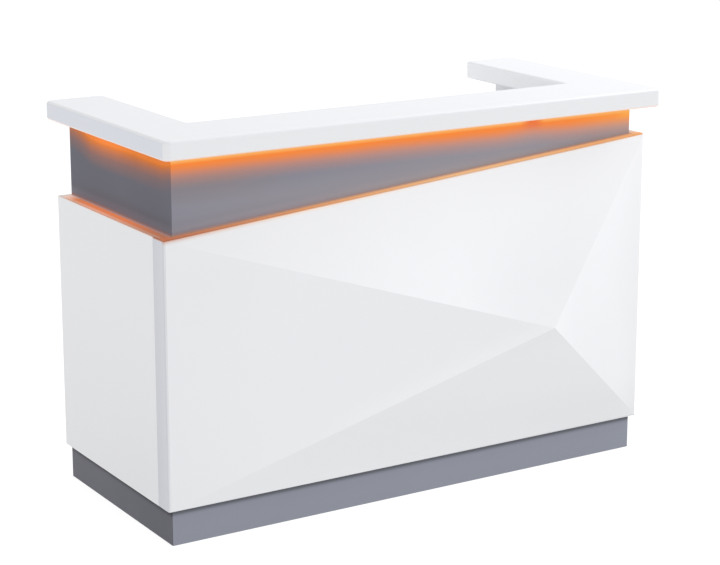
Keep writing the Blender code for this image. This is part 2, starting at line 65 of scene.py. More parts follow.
# ---- shader helpers -----------------------------------------------------------------------------
class Shader:
    """A material's node tree, with short calls for the nodes used here."""

    def __init__(self, name):
        self.mat = bpy.data.materials.new(name)
        self.mat.use_nodes = True
        self.tree = self.mat.node_tree
        self.bsdf = self.tree.nodes["Principled BSDF"]
        where = self.node("ShaderNodeTexCoord")
        self.coords = where.outputs["Object"]
        self.facing = where.outputs["Normal"]

    def node(self, kind, **settings):
        made = self.tree.nodes.new(kind)
        for key, value in settings.items():
            setattr(made, key, value)
        return made

    def link(self, a, b):
        self.tree.links.new(a, b)

    def set(self, **values):
        for key, value in values.items():
            self.bsdf.inputs[key.replace("_", " ")].default_value = value

    def scaled(self, scale, turn=(0.0, 0.0, 0.0)):
        """Object coordinates stretched along the axes, and turned."""
        mapping = self.node("ShaderNodeMapping")
        mapping.inputs["Scale"].default_value = scale
        mapping.inputs["Rotation"].default_value = turn
        self.link(self.coords, mapping.inputs["Vector"])
        return mapping.outputs["Vector"]

    def noise(self, scale, detail=2.0, roughness=0.5, vector=None, distortion=0.0):
        made = self.node("ShaderNodeTexNoise")
        made.inputs["Scale"].default_value = scale
        made.inputs["Detail"].default_value = detail
        made.inputs["Roughness"].default_value = roughness
        made.inputs["Distortion"].default_value = distortion
        self.link(vector or self.coords, made.inputs["Vector"])
        return made.outputs["Fac"]

    def span(self, value, low, high, to_low, to_high, smooth=False):
        made = self.node("ShaderNodeMapRange")
        if smooth:
            made.interpolation_type = "SMOOTHSTEP"
        made.clamp = True
        for key, number in zip(("From Min", "From Max", "To Min", "To Max"), (low, high, to_low, to_high)):
            made.inputs[key].default_value = number
        self.link(value, made.inputs["Value"])
        return made.outputs["Result"]

    def math(self, operation, a, b=None, c=None, clamp=False):
        made = self.node("ShaderNodeMath", operation=operation, use_clamp=clamp)
        for socket, value in zip(made.inputs, (a, b, c)):
            if value is None:
                continue
            if isinstance(value, (int, float)):
                socket.default_value = value
            else:
                self.link(value, socket)
        return made.outputs["Value"]

    def mix(self, factor, a, b, blend="MIX"):
        made = self.node("ShaderNodeMix", data_type="RGBA", blend_type=blend)
        if isinstance(factor, (int, float)):
            made.inputs[0].default_value = factor
        else:
            self.link(factor, made.inputs[0])
        for socket, value in ((made.inputs[6], a), (made.inputs[7], b)):
            if isinstance(value, tuple):
                socket.default_value = (*value, 1.0)
            else:
                self.link(value, socket)
        return made.outputs[2]

    def ramp(self, value, stops):
        """A grey ramp through (place, level) stops."""
        made = self.node("ShaderNodeValToRGB")
        elements = made.color_ramp.elements
        while len(elements) < len(stops):
            elements.new(0.5)
        for element, (place, level) in zip(elements, stops):
            element.position = place
            element.color = (level, level, level, 1.0)
        self.link(value, made.inputs["Fac"])
        return made.outputs["Color"]

    def bump(self, height, strength, distance, after=None):
        made = self.node("ShaderNodeBump")
        made.inputs["Strength"].default_value = strength
        made.inputs["Distance"].default_value = distance
        self.link(height, made.inputs["Height"])
        if after:
            self.link(after, made.inputs["Normal"])
        return made.outputs["Normal"]

    def part(self, vector, letter):
        apart = self.node("ShaderNodeSeparateXYZ")
        self.link(vector, apart.inputs["Vector"])
        return apart.outputs[letter]

    def axis(self, letter):
        return self.part(self.coords, letter)

    def tone(self):
        """What feeds the base colour so far."""
        return self.bsdf.inputs["Base Color"].links[0].from_socket

    def out(self, socket, value):
        self.link(value, self.bsdf.inputs[socket])


def times(colour, factor):
    return tuple(min(1.0, c * factor) for c in colour)


# ---- finishes -----------------------------------------------------------------------------------
def lacquer(name, colour, rough=0.20, coat=0.25, drift=0.005, gloss=0.5):
    """Sprayed and polished lacquer: faint orange peel, polishing haze, very slight drift of tone."""
    s = Shader(name)
    cloud = s.noise(1.7, 3.0, 0.55)
    s.out("Base Color", s.mix(s.span(cloud, 0.3, 0.7, 0.0, 1.0), times(colour, 1 - drift), times(colour, 1 + drift)))
    haze = s.noise(6.5, 3.0, 0.5, s.scaled((1.0, 1.0, 0.6)))
    s.out("Roughness", s.span(haze, 0.32, 0.72, rough * 0.95, rough * 1.10))
    s.out("Normal", s.bump(s.noise(150.0, 2.0, 0.4, s.scaled((1.0, 1.0, 1.0), (0.61, 0.43, 0.87))), 0.020, 0.0004))
    s.set(Coat_Weight=coat, Coat_Roughness=0.08, Specular_IOR_Level=gloss)
    return s


def grade(s, factor):
    """Multiplies the base colour by a number that changes over the surface."""
    grey = s.node("ShaderNodeCombineColor")
    for channel in ("Red", "Green", "Blue"):
        s.link(factor, grey.inputs[channel])
    s.out("Base Color", s.mix(1.0, s.tone(), grey.outputs["Color"], "MULTIPLY"))
    return s


def slanted(s, low, high):
    """Height of a line that runs from low to high across the body's width."""
    return s.math("MULTIPLY_ADD", s.axis("X"), (high - low) / (2 * BODY_X), (high + low) / 2)


def warm_edge(s, top, depth, strength, colour):
    """Orange spilt by the ledge's light strip over the last few millimetres below an edge."""
    below = s.math("DIVIDE", s.math("SUBTRACT", top, s.axis("Z")), depth)
    warm = s.ramp(s.span(below, 0.0, 1.0, 1.0, 0.0), [(0.0, 0.0), (0.35, 0.11), (0.60, 0.33), (0.80, 0.66), (1.0, 1.0)])
    s.out("Base Color", s.mix(s.math("MULTIPLY", warm, strength), s.tone(), colour))
    return s


def white_panel(name, colour):
    """White lacquer of the faceted front, with painted light and shade: a facet that leans to the right
    or upwards is painted a little lighter, one that leans away a little darker, and the rounded upright
    corners pass into the greyer edge. Below the top edge the ledge strip's orange glow is painted on."""
    s = lacquer(name, colour, 0.30, 0.12)
    x, z = s.axis("X"), s.axis("Z")
    across, up = s.part(s.facing, "X"), s.part(s.facing, "Z")
    # painted light and shade, set by the way each facet leans
    lean = s.math("ADD", s.span(across, -0.20, 0.0, -0.17, 0.0), s.span(across, 0.0, 0.20, 0.0, 0.25))
    lean = s.math("ADD", lean, s.math("ADD", s.span(up, -0.20, 0.0, -0.175, 0.0), s.span(up, 0.0, 0.20, 0.0, 0.25)))
    # the light falls off a little over each facet
    upper = s.math("ADD", s.span(x, 0.10, 0.48, 0.030, -0.026), s.span(x, -0.45, -0.10, -0.015, 0.020))
    upper = s.math("MULTIPLY_ADD", s.span(x, 0.12, 0.30, 0.0, 1.0), s.span(z, 0.55, 0.75, -0.035, 0.012), upper)
    lower = s.math("ADD", s.span(x, -0.20, 0.60, 0.006, -0.014), s.span(z, 0.24, 0.34, 0.0, 0.035))
    lower = s.math("MULTIPLY_ADD", s.span(z, 0.10, 0.24, -1.0, 0.0), s.span(x, -0.50, 0.45, 0.015, 0.085), lower)
    # a painted highlight on the left facet along its ridge with the lower facet
    ridge = s.math("SUBTRACT", z, s.math("MULTIPLY_ADD", x, 0.2703, 0.2987))
    left = s.math("MULTIPLY_ADD", s.span(x, -0.35, -0.15, 0.0, 1.0), s.span(ridge, 0.0, 0.055, 0.030, 0.0), s.span(z, 0.20, 0.52, 0.050, 0.0))
    left = s.math("MULTIPLY_ADD", s.span(x, -0.55, -0.35, 1.0, 0.35), s.span(z, 0.52, 0.70, 0.0, -0.058), left)
    right = s.math("MULTIPLY_ADD", s.span(x, 0.62, 0.72, 0.0, 1.0), s.span(z, 0.15, 0.60, 0.075, 0.0), s.span(x, 0.50, 0.66, -0.052, 0.0))
    for facet, change in (
        (s.span(up, 0.02, 0.06, 0.0, 1.0), upper),
        (s.span(up, -0.08, -0.04, 1.0, 0.0), lower),
        (s.span(across, -0.028, -0.012, 1.0, 0.0), left),
        (s.span(across, 0.03, 0.08, 0.0, 1.0), right),
    ):
        lean = s.math("MULTIPLY_ADD", facet, change, lean)
    flat = s.span(s.part(s.facing, "Y"), -0.97, -0.92, 1.0, 0.0)
    # painted shade across the width: lightest a little left of the middle, darker towards both ends
    even = s.math("MULTIPLY", s.span(x, -0.45, 0.65, 1.010, 0.985), s.span(x, -0.75, -0.45, 0.984, 1.0))
    grade(s, s.math("MULTIPLY_ADD", lean, flat, even))
    corner = s.math("MAXIMUM", s.span(across, -0.97, -0.25, 1.0, 0.0), s.span(across, 0.70, 0.99, 0.0, 1.0))
    s.out("Base Color", s.mix(corner, s.tone(), EDGE_TONE))
    # painted orange glow from the ledge's strip, just below the top edge
    spilt = s.mix(s.span(x, -0.72, -0.35, 0.0, 1.0), (0.60, 0.25, 0.13), (1.0, 0.60, 0.30))
    return warm_edge(s, slanted(s, LEDGE_LEFT, LEDGE_RIGHT), s.span(x, -0.75, 0.75, 0.014, 0.007), s.span(x, -0.70, 0.10, 0.80, 0.28), spilt)


def white_counter(name, colour):
    """White lacquer of the counter, with painted shade that makes its outer left edge cooler and darker."""
    s = lacquer(name, colour, 0.40, 0.0)
    x = s.axis("X")
    # painted light: faces that look up are lighter
    grade(s, s.span(s.part(s.facing, "Z"), 0.2, 0.9, 0.990, 1.053))
    # painted shade: the outer left face is cooler and darker
    left = s.span(s.part(s.facing, "X"), -0.985, -0.90, 1.0, 0.0, True)
    s.out("Base Color", s.mix(s.math("MULTIPLY", left, s.span(x, -0.73, -0.60, 1.0, 0.0)), s.tone(), (0.660, 0.675, 0.726)))
    # painted light: the inner face of the right arm is lighter
    inner = s.math("MULTIPLY", s.span(s.part(s.facing, "X"), -0.97, -0.30, 1.0, 0.0), s.span(x, 0.40, 0.55, 0.0, 1.0))
    s.out("Base Color", s.mix(inner, s.tone(), (0.940, 0.944, 0.960)))
    # painted shade: the right end is darker
    right = s.math("MULTIPLY", s.span(s.part(s.facing, "X"), 0.75, 0.98, 0.0, 1.0), s.span(x, 0.72, 0.75, 0.0, 1.0))
    s.out("Base Color", s.mix(right, s.tone(), (0.66, 0.667, 0.685)))
    # painted glow: orange from the strip under the counter, on the underside of the outer rim
    outer = s.math("MAXIMUM", s.span(s.axis("Y"), -0.346, -0.340, 1.0, 0.0), s.span(s.math("ABSOLUTE", x), 0.749, 0.755, 0.0, 1.0))
    rim = s.math("MULTIPLY", outer, s.span(s.part(s.facing, "Z"), -0.95, -0.25, 0.62, 0.0))
    s.out("Base Color", s.mix(rim, s.tone(), (0.95, 0.44, 0.17)))
    return s


def panel_edge(name):
    """The panel's thick edge: a little greyer than the rest, with painted shade that darkens it most of all low down
    and at the seam.
    """
    s = lacquer(name, EDGE_TONE)
    low = s.span(s.axis("Z"), 0.10, 0.75, 0.94, 1.0)
    return grade(s, s.math("MULTIPLY", low, s.span(s.axis("Y"), BODY_FRONT, FRAME_BACK, 1.035, 0.955)))


def side_panel(name, top, low, high):
    """White lacquer of a side, with painted shade that makes it greyer low down, and the ledge strip's orange glow
    painted below its top.
    """
    s = lacquer(name, WHITE_TONE)
    grade(s, s.span(s.axis("Z"), 0.10, 0.60, low, high))
    return warm_edge(s, top, 0.0045, 0.42, (0.93, 0.44, 0.20))


def sideways(s):
    """1 on faces that look to the left or the right, 0 on those that look ahead."""
    return s.span(s.math("ABSOLUTE", s.part(s.facing, "X")), 0.55, 0.80, 0.0, 1.0, True)


def plinth(name):
    """Grey satin lacquer, with painted shade on the sides and a painted shadow just under the white body's overhang."""
    s = lacquer(name, (0.264, 0.276, 0.322), 0.50, 0.0, 0.02, 0.10)
    # painted shade: the sides are darker than the front, a little less so towards the back
    side = sideways(s)
    s.out("Base Color", s.mix(side, s.tone(), s.mix(s.span(s.axis("Y"), -0.29, 0.10, 0.0, 1.0), (0.112, 0.112, 0.132), (0.129, 0.129, 0.151))))
    # painted shadow under the white body's overhang, reaching further down on the sides
    high = s.math("MULTIPLY_ADD", side, 0.0045, s.axis("Z"))
    return grade(s, s.ramp(s.span(high, 0.0722, 0.0880, 0.0, 1.0), [(0.0, 1.0), (0.35, 0.94), (0.62, 0.72), (0.82, 0.50), (1.0, 0.42)]))


def lit_band(name):
    """The grey band, with a painted orange glow: it glows as if washed by the strip above it and touched by
    the one at its foot. The front is painted lighter than the sides, and the glow dies away towards the back of the
    sides."""
    s = lacquer(name, (0.262, 0.258, 0.300), 0.50, 0.0, 0.015, 0.10)
    x, y, z = s.axis("X"), s.axis("Y"), s.axis("Z")
    side = sideways(s)
    # painted light and shade: the front lighter towards the right, the sides darker
    s.out("Base Color", s.mix(s.span(x, -0.70, 0.35, 0.0, 1.0), s.tone(), (0.364, 0.354, 0.388)))
    s.out("Base Color", s.mix(side, s.tone(), (0.129, 0.131, 0.160)))
    # painted shade and tint in a band across the front where the glow fades: warm at the left, cooler at the right
    tail = s.math("MULTIPLY", s.math("MULTIPLY", s.span(z, 0.870, 0.915, 0.0, 1.0), s.span(z, 0.935, 0.955, 1.0, 0.4)), s.math("SUBTRACT", 1.0, side))
    cast = s.mix(s.span(x, -0.55, -0.38, 0.0, 1.0), (0.94, 0.89, 0.85), (0.87, 0.885, 0.92))
    s.out("Base Color", s.mix(tail, s.tone(), cast, "MULTIPLY"))
    # painted light just above the ledge strip, stronger on the sides and towards the left
    foot = s.math("SUBTRACT", z, slanted(s, LEDGE_LEFT, LEDGE_RIGHT))
    grade(s, s.math("MULTIPLY_ADD", s.span(foot, 0.002, 0.034, 1.0, 0.0, True), s.math("ADD", s.math("MULTIPLY", side, 0.40), s.span(x, -0.30, 0.50, 0.29, 0.08)), 1.0))
    # painted glow: how far down the front (ahead) and the sides (aside) the wash from the strip above reaches
    beside = s.math("ABSOLUTE", s.math("SUBTRACT", x, 0.379))
    reach = s.math("SUBTRACT", s.span(x, -0.10, 0.30, 0.0, 0.0033), s.span(beside, 0.010, 0.100, 0.006, 0.0))
    ahead = s.ramp(
        s.span(s.math("ADD", z, reach), UNDERSIDE - 0.086, UNDERSIDE - 0.006, 0.0, 1.0),
        [(0.0, 0.0), (0.12, 0.06), (0.24, 0.15), (0.35, 0.26), (0.46, 0.44), (0.56, 0.67), (0.66, 0.88), (0.76, 1.0)],
    )
    drop = s.math("ADD", s.span(y, -0.280, -0.235, 0.0045, -0.0020), s.math("ADD", s.span(y, -0.14, -0.05, 0.0, 0.0035), s.span(y, -0.08, 0.05, 0.0, -0.003)))
    drop = s.math("ADD", drop, s.math("ADD", s.span(y, 0.180, 0.262, 0.0, 0.0205), s.span(y, 0.262, 0.300, 0.0, 0.0055)))
    aside = s.ramp(
        s.span(s.math("SUBTRACT", z, drop), UNDERSIDE - 0.103, UNDERSIDE + 0.005, 0.0, 1.0),
        [(0.0, 0.0), (0.09, 0.05), (0.24, 0.13), (0.32, 0.18), (0.39, 0.29), (0.46, 0.39), (0.54, 0.56), (0.61, 0.73), (0.69, 1.0)],
    )
    aside = s.math("POWER", aside, s.span(y, -0.28, -0.08, 1.35, 1.0))
    pick = s.node("ShaderNodeMix", data_type="FLOAT")
    for socket, value in zip(pick.inputs[:4], (side, None, ahead, aside)):
        if value:
            s.link(value, socket)
    uneven = s.noise(7.0, 2.0, 0.5, s.scaled((1.0, 1.0, 0.15)))
    wash = s.math("MULTIPLY", pick.outputs[0], s.span(uneven, 0.3, 0.7, 0.94, 1.02), clamp=True)
    low = s.math("MULTIPLY", s.span(foot, 0.0025, 0.0085, 1.0, 0.0, True), s.span(x, 0.0, 0.55, 0.22, 0.40))
    both = s.math("MAXIMUM", wash, low)
    dim = s.math("MULTIPLY", both, s.math("MULTIPLY_ADD", side, 0.25, 1.0), clamp=True)
    # painted glow: where the band glows its colour turns near black and the emission below carries the orange
    s.out("Base Color", s.mix(dim, s.tone(), (0.030, 0.012, 0.004)))
    shine = s.mix(s.span(x, 0.50, 0.68, 0.0, 1.0), (0.915, 0.238, 0.034), (0.930, 0.296, 0.048))
    upper = s.span(z, UNDERSIDE - 0.043, UNDERSIDE - 0.028, 0.0, 1.0)
    shine = s.mix(s.math("MULTIPLY", upper, s.span(x, 0.660, 0.700, 0.0, 1.0)), shine, (0.930, 0.365, 0.062))
    shine = s.mix(s.span(z, 0.9785, 0.9875, 0.0, 1.0), shine, (0.950, 0.450, 0.125))
    join = s.math("MULTIPLY", upper, s.span(beside, 0.006, 0.048, 1.0, 0.0, True))
    shine = s.mix(join, shine, (0.840, 0.178, 0.042))
    middle = s.math("MULTIPLY", s.span(y, -0.09, 0.03, 0.0, 1.0), s.span(y, 0.12, 0.23, 1.0, 0.0))
    s.out("Emission Color", s.mix(side, shine, s.mix(middle, (0.740, 0.185, 0.016), (0.900, 0.225, 0.026))))
    s.out("Emission Strength", both)
    return s


def light_strip(name, bead=0.05):
    """Frosted silicone light strip, a shade brighter over each diode behind it."""
    s = Shader(name)
    behind = s.span(s.axis("Y"), -0.2835, -0.2830, 0.0, 1.0)
    ahead = s.math("MULTIPLY", s.axis("X"), s.math("SUBTRACT", 1.0, behind))
    along = s.math("MULTIPLY_ADD", s.axis("Y"), behind, ahead)
    beads = s.math("SINE", s.math("MULTIPLY", along, 2 * math.pi / 0.0167))
    haze = s.noise(60.0, 2.0, 0.5)
    s.out("Base Color", s.mix(s.span(haze, 0.3, 0.7, 0.0, 1.0), (0.08, 0.024, 0.006), (0.11, 0.034, 0.008)))
    s.set(Roughness=0.45, Specular_IOR_Level=0.1, Emission_Color=(0.95, 0.25, 0.040, 1.0))
    s.out("Emission Strength", s.span(beads, -1.0, 1.0, 0.95 - bead, 0.95 + bead))
    return s


def ledge_strip(name):
    """The ledge's strip: dim next to the band and bright at its outer edge, deep orange along the
    left, paler along the front to the right, and nearly white at its right and rear ends."""
    s = light_strip(name, 0.015)
    x, y = s.axis("X"), s.axis("Y")
    wide = s.math("ABSOLUTE", x)
    out = s.span(wide, 0.7150, 0.7300, 0.0, 1.0, True)
    inner = s.mix(s.span(x, -0.70, 0.25, 0.0, 1.0), (0.27, 0.180, 0.150), (0.58, 0.350, 0.215))
    outer = s.mix(s.span(x, -0.75, -0.25, 0.0, 1.0), (0.44, 0.142, 0.075), (0.72, 0.340, 0.150))
    outer = s.mix(s.span(x, -0.25, 0.15, 0.0, 1.0), outer, (0.82, 0.490, 0.240))
    inner = s.mix(s.span(x, 0.20, 0.58, 0.0, 1.0), inner, (0.60, 0.320, 0.170))
    outer = s.mix(s.span(x, 0.20, 0.58, 0.0, 1.0), outer, (0.79, 0.385, 0.160))
    ahead = s.mix(s.math("MAXIMUM", s.span(y, -0.284, -0.3000, 0.0, 1.0), out), inner, outer)
    rear = s.span(y, 0.15, 0.25, 0.0, 1.0)
    glow = s.mix(s.span(y, -0.27, -0.05, 0.0, 1.0), (0.39, 0.148, 0.082), (0.71, 0.190, 0.070))
    glow = s.mix(rear, glow, (0.61, 0.187, 0.070))
    rim = s.mix(s.span(y, -0.20, 0.05, 0.0, 1.0), (0.45, 0.260, 0.190), (0.72, 0.370, 0.270))
    rim = s.mix(rear, rim, (0.61, 0.325, 0.215))
    glow = s.mix(s.span(wide, 0.7370, 0.7470, 0.0, 1.0), glow, rim)
    glow = s.mix(s.span(y, 0.235, 0.297, 0.0, 0.75), glow, (0.80, 0.64, 0.58))
    glow = s.mix(s.span(x, 0.0, 0.1, 0.0, 0.6), glow, (0.82, 0.66, 0.54))
    aside = s.mix(out, (0.25, 0.21, 0.225), glow)
    s.out("Emission Color", s.mix(s.span(y, -0.284, -0.274, 0.0, 1.0), ahead, aside))
    return s


def board(name, colour, rough=0.42, emboss=0.10):
    """Melamine-faced board: fine pearl emboss with a slightly uneven sheen."""
    s = Shader(name)
    cloud = s.noise(3.1, 3.0, 0.55)
    speck = s.noise(620.0, 2.0, 0.6)
    tone = s.mix(s.span(cloud, 0.3, 0.7, 0.0, 1.0), times(colour, 0.985), colour)
    s.out("Base Color", s.mix(s.span(speck, 0.52, 0.75, 0.0, 0.10), tone, times(colour, 0.93)))
    worn = s.noise(7.0, 4.0, 0.6)
    s.out("Roughness", s.span(worn, 0.3, 0.7, rough * 0.86, rough * 1.16))
    s.out("Normal", s.bump(s.noise(900.0, 2.0, 0.55), emboss, 0.0003))
    return s


def brushed(name, colour, along, rough=0.30):
    """Brushed metal: fine scratches that run along one axis."""
    s = Shader(name)
    stretch = tuple(18.0 if axis == along else 900.0 for axis in "XYZ")
    lines = s.noise(1.0, 3.0, 0.65, s.scaled(stretch))
    cloud = s.noise(22.0, 3.0, 0.6)
    s.out("Base Color", s.mix(s.span(lines, 0.3, 0.7, 0.0, 1.0), times(colour, 0.86), colour))
    s.out("Roughness", s.math("ADD", s.span(lines, 0.3, 0.7, rough * 0.95, rough * 1.25), s.span(cloud, 0.35, 0.7, 0.0, 0.06)))
    s.out("Normal", s.bump(lines, 0.08, 0.0002))
    s.set(Metallic=1.0)
    return s


def moulded(name, colour, rough=0.48, grain=0.22):
    """Moulded plastic with a fine spark-eroded grain."""
    s = Shader(name)
    cloud = s.noise(24.0, 3.0, 0.6)
    s.out("Base Color", s.mix(s.span(cloud, 0.3, 0.7, 0.0, 1.0), times(colour, 0.92), times(colour, 1.06)))
    s.out("Roughness", s.span(cloud, 0.3, 0.7, rough * 0.9, rough * 1.12))
    s.out("Normal", s.bump(s.noise(1500.0, 2.0, 0.6), grain, 0.0002))
    return s


WHITE_TONE = (0.783, 0.785, 0.801)
EDGE_TONE = (0.563, 0.572, 0.616)
WHITE = lacquer("white_gloss_lacquer", WHITE_TONE).mat
PANEL = white_panel("white_gloss_lacquer_facets", WHITE_TONE).mat
COUNTER = white_counter("white_gloss_lacquer_counter", WHITE_TONE).mat
EDGING = panel_edge("white_lacquer_panel_edge").mat
# painted shade: the right side, which faces the key light, is painted darker overall than the left
SIDE_LEFT = side_panel("white_lacquer_left", LEDGE_LEFT + 0.002, 0.868, 0.930).mat
SIDE_RIGHT = side_panel("white_lacquer_right", LEDGE_RIGHT, 0.74, 0.77).mat
GREY = plinth("grey_satin_lacquer_plinth").mat
BAND = lit_band("grey_satin_lacquer_lit").mat
TUBE = light_strip("orange_light_strip").mat
LEDGE_TUBE = ledge_strip("orange_ledge_strip").mat
BOARD = board("white_melamine", (0.78, 0.785, 0.795)).mat
WORKTOP = board("white_worktop", (0.80, 0.803, 0.81), 0.34, 0.07).mat
DRAWER = board("grey_drawer_board", (0.60, 0.61, 0.63), 0.5, 0.14).mat
STEEL_X = brushed("brushed_nickel_across", (0.62, 0.61, 0.60), "X").mat
STEEL_Z = brushed("brushed_nickel_upright", (0.62, 0.61, 0.60), "Z").mat
ZINC = brushed("zinc_plated_steel", (0.56, 0.58, 0.61), "Y", 0.36).mat
BLACK = moulded("black_plastic_grain", (0.022, 0.022, 0.024)).mat
GREY_PLASTIC = moulded("grey_plastic_grain", (0.42, 0.43, 0.45)).mat
WHITE_PLASTIC = moulded("white_plastic_grain", (0.70, 0.71, 0.72), 0.40, 0.12).mat
LAMP = moulded("green_lamp_lens", (0.05, 0.30, 0.09), 0.20, 0.02).mat


# ---- finishes on the CAD pieces -----------------------------------------------------------------
def smoothing_group():
    """Joins the split corners of a piece and drops its flat shading, ahead of the rounding."""
    group = bpy.data.node_groups.new("join_corners", "GeometryNodeTree")
    group.interface.new_socket(name="Geometry", in_out="INPUT", socket_type="NodeSocketGeometry")
    group.interface.new_socket(name="Geometry", in_out="OUTPUT", socket_type="NodeSocketGeometry")
    made = [group.nodes.new("NodeGroupInput")]
    for old in ("custom_normal", "sharp_face", "sharp_edge"):
        drop = group.nodes.new("GeometryNodeRemoveAttribute")
        drop.inputs["Name"].default_value = old
        made.append(drop)
    merge = group.nodes.new("GeometryNodeMergeByDistance")
    merge.inputs["Distance"].default_value = 1e-5
    made.append(merge)
    made.append(group.nodes.new("GeometryNodeSetShadeSmooth"))
    made.append(group.nodes.new("NodeGroupOutput"))
    for a, b in zip(made, made[1:]):
        group.links.new(a.outputs["Geometry"], b.inputs["Geometry"])
    return group


JOIN = smoothing_group()


def rounded_edges(piece, width, segments, angle=40.0):
    """Rounds a piece's square edges and keeps its flat faces flat."""
    if width:
        rounding = piece.modifiers.new("rounding", "BEVEL")
        rounding.width = width
        rounding.segments = segments
        rounding.limit_method = "ANGLE"
        rounding.angle_limit = math.radians(angle)
        rounding.use_clamp_overlap = True
    normals = piece.modifiers.new("normals", "WEIGHTED_NORMAL")
    normals.keep_sharp = True
    return piece


def dress(node, mat, width=0.0010, segments=2, angle=40.0):
    """Gives a CAD piece its finish and, where it has square edges, a small rounding."""
    piece = NODES[node]
    piece.data.materials.clear()
    piece.data.materials.append(mat)
    piece.modifiers.new("join", "NODES").node_group = JOIN
    flat = piece.modifiers.new("flat", "DECIMATE")
    flat.decimate_type = "DISSOLVE"
    flat.angle_limit = math.radians(0.5)
    return rounded_edges(piece, width, segments, angle)


for name in NODES:
    if name.startswith(("counter_", "front_")):
        dress(name, WHITE, 0.0020, 3)
    elif name.startswith("side_panel"):
        dress(name, SIDE_LEFT if name.endswith("left") else SIDE_RIGHT, 0.0012, 3)
    elif name.startswith("band_"):
        dress(name, BAND, 0.0003, 1)
    elif name.startswith("plinth"):
        dress(name, GREY, 0.0003, 1)
    elif name == "worktop":
        dress(name, WORKTOP, 0.0015, 3)
    elif name.endswith("_handle"):
        dress(name, STEEL_Z if name == "door_handle" else STEEL_X, 0.0008, 3)
    elif "_rail_" in name or "pivot" in name:
        dress(name, ZINC, 0.0002, 1)
    elif name.endswith("_lock"):
        dress(name, STEEL_Z, 0.0004, 2)
    elif name.endswith("_box"):
        dress(name, DRAWER, 0.0006, 2)
    elif name == "led_strip_ledge":
        dress(name, LEDGE_TUBE, 0.0008, 3)
    elif name.startswith("led_strip"):
        dress(name, TUBE, 0.0020, 3)
    elif name in ("led_driver", "led_switch_housing"):
        dress(name, GREY_PLASTIC, 0.0012, 3)
    elif name in ("led_switch_rocker", "worktop_grommet"):
        dress(name, BLACK, 0.0004, 2)
    else:
        dress(name, BOARD, 0.0010, 3)


# ---- mesh helpers -------------------------------------------------------------------------------
def piece_of(name, bm, mats, body, replaced=()):
    """Makes a piece of a finished bmesh and hangs it on its body."""
    mesh = bpy.data.meshes.new(name)
    bm.to_mesh(mesh)
    bm.free()
    mesh.polygons.foreach_set("use_smooth", [True] * len(mesh.polygons))
    for mat in mats:
        mesh.materials.append(mat)
    piece = bpy.data.objects.new(name, mesh)
    scene.collection.objects.link(piece)
    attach(piece, body)
    if replaced:
        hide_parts(*replaced)
    return piece


def rounded_outline(points, radii, steps):
    """A closed outline whose corners are arcs."""
    out = []
    for i, (point, radius) in enumerate(zip(points, radii)):
        p = Vector(point)
        a = (Vector(points[i - 1]) - p).normalized()
        b = (Vector(points[(i + 1) % len(points)]) - p).normalized()
        half = a.angle(b) / 2
        centre = p + (a + b).normalized() * (radius / math.sin(half))
        start = p + a * (radius / math.tan(half)) - centre
        end = p + b * (radius / math.tan(half)) - centre
        turn = math.atan2(start.x * end.y - start.y * end.x, start.dot(end))
        for k in range(steps + 1):
            angle = turn * k / steps
            out.append((centre.x + start.x * math.cos(angle) - start.y * math.sin(angle), centre.y + start.x * math.sin(angle) + start.y * math.cos(angle)))
    return out


def facing(point, direction):
    """A frame at a point, with its Z along a direction."""
    return Matrix.Translation(point) @ Vector(direction).to_track_quat("Z", "Y").to_matrix().to_4x4()


def turned(bm, profile, place, steps=28, closed=False):
    """A turned shape: (radius, height) points round the Z of a frame."""
    rings = []
    for radius, height in profile:
        if radius == 0:
            rings.append([bm.verts.new(place @ Vector((0, 0, height)))])
        else:
            angles = [2 * math.pi * k / steps for k in range(steps)]
            rings.append([bm.verts.new(place @ Vector((radius * math.cos(a), radius * math.sin(a), height))) for a in angles])
    made = []
    for a, b in zip(rings, rings[1:] + (rings[:1] if closed else [])):
        for k in range(steps):
            n = (k + 1) % steps
            corners = ([a[0]] if len(a) == 1 else [a[k], a[n]]) + ([b[0]] if len(b) == 1 else [b[n], b[k]])
            if len(corners) > 2:
                made.append(bm.faces.new(corners))
    bmesh.ops.recalc_face_normals(bm, faces=made)


def block(bm, low, high, turn=None):
    """A box between two corners, optionally turned."""
    low, high = Vector(low), Vector(high)
    size = high - low
    place = Matrix.Translation((low + high) / 2) @ Matrix.Diagonal((size.x, size.y, size.z, 1.0))
    bmesh.ops.create_cube(bm, size=1.0, matrix=turn @ place if turn else place)


# ---- counter: one seamless lacquered U ----------------------------------------------------------
low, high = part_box("counter_front")
left_low, left_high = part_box("counter_left")
outline = rounded_outline(
    [
        (low.x, low.y),
        (high.x, low.y),
        (high.x, left_high.y),
        (-left_high.x, left_high.y),
        (-left_high.x, high.y),
        (left_high.x, high.y),
        (left_high.x, left_high.y),
        (low.x, left_high.y),
    ],
    [0.020, 0.020, 0.020, 0.020, 0.008, 0.008, 0.020, 0.020],
    12,
)
bm = bmesh.new()
base = bm.faces.new([bm.verts.new((x, y, low.z)) for x, y in outline])
lifted = bmesh.ops.extrude_face_region(bm, geom=[base])["geom"]
bmesh.ops.translate(bm, vec=(0, 0, high.z - low.z), verts=[v for v in lifted if isinstance(v, bmesh.types.BMVert)])
bmesh.ops.recalc_face_normals(bm, faces=bm.faces[:])
for height, radius in ((high.z, 0.014), (low.z, 0.009)):
    rims = [e for e in bm.edges if all(abs(v.co.z - height) < 1e-6 for v in e.verts)]
    bmesh.ops.bevel(bm, geom=rims, offset=radius, segments=9, profile=0.5, affect="EDGES", clamp_overlap=True)
counter = piece_of("counter_slab", bm, [COUNTER], "desk", ("counter_front", "counter_left", "counter_right"))
rounded_edges(counter, 0, 0)

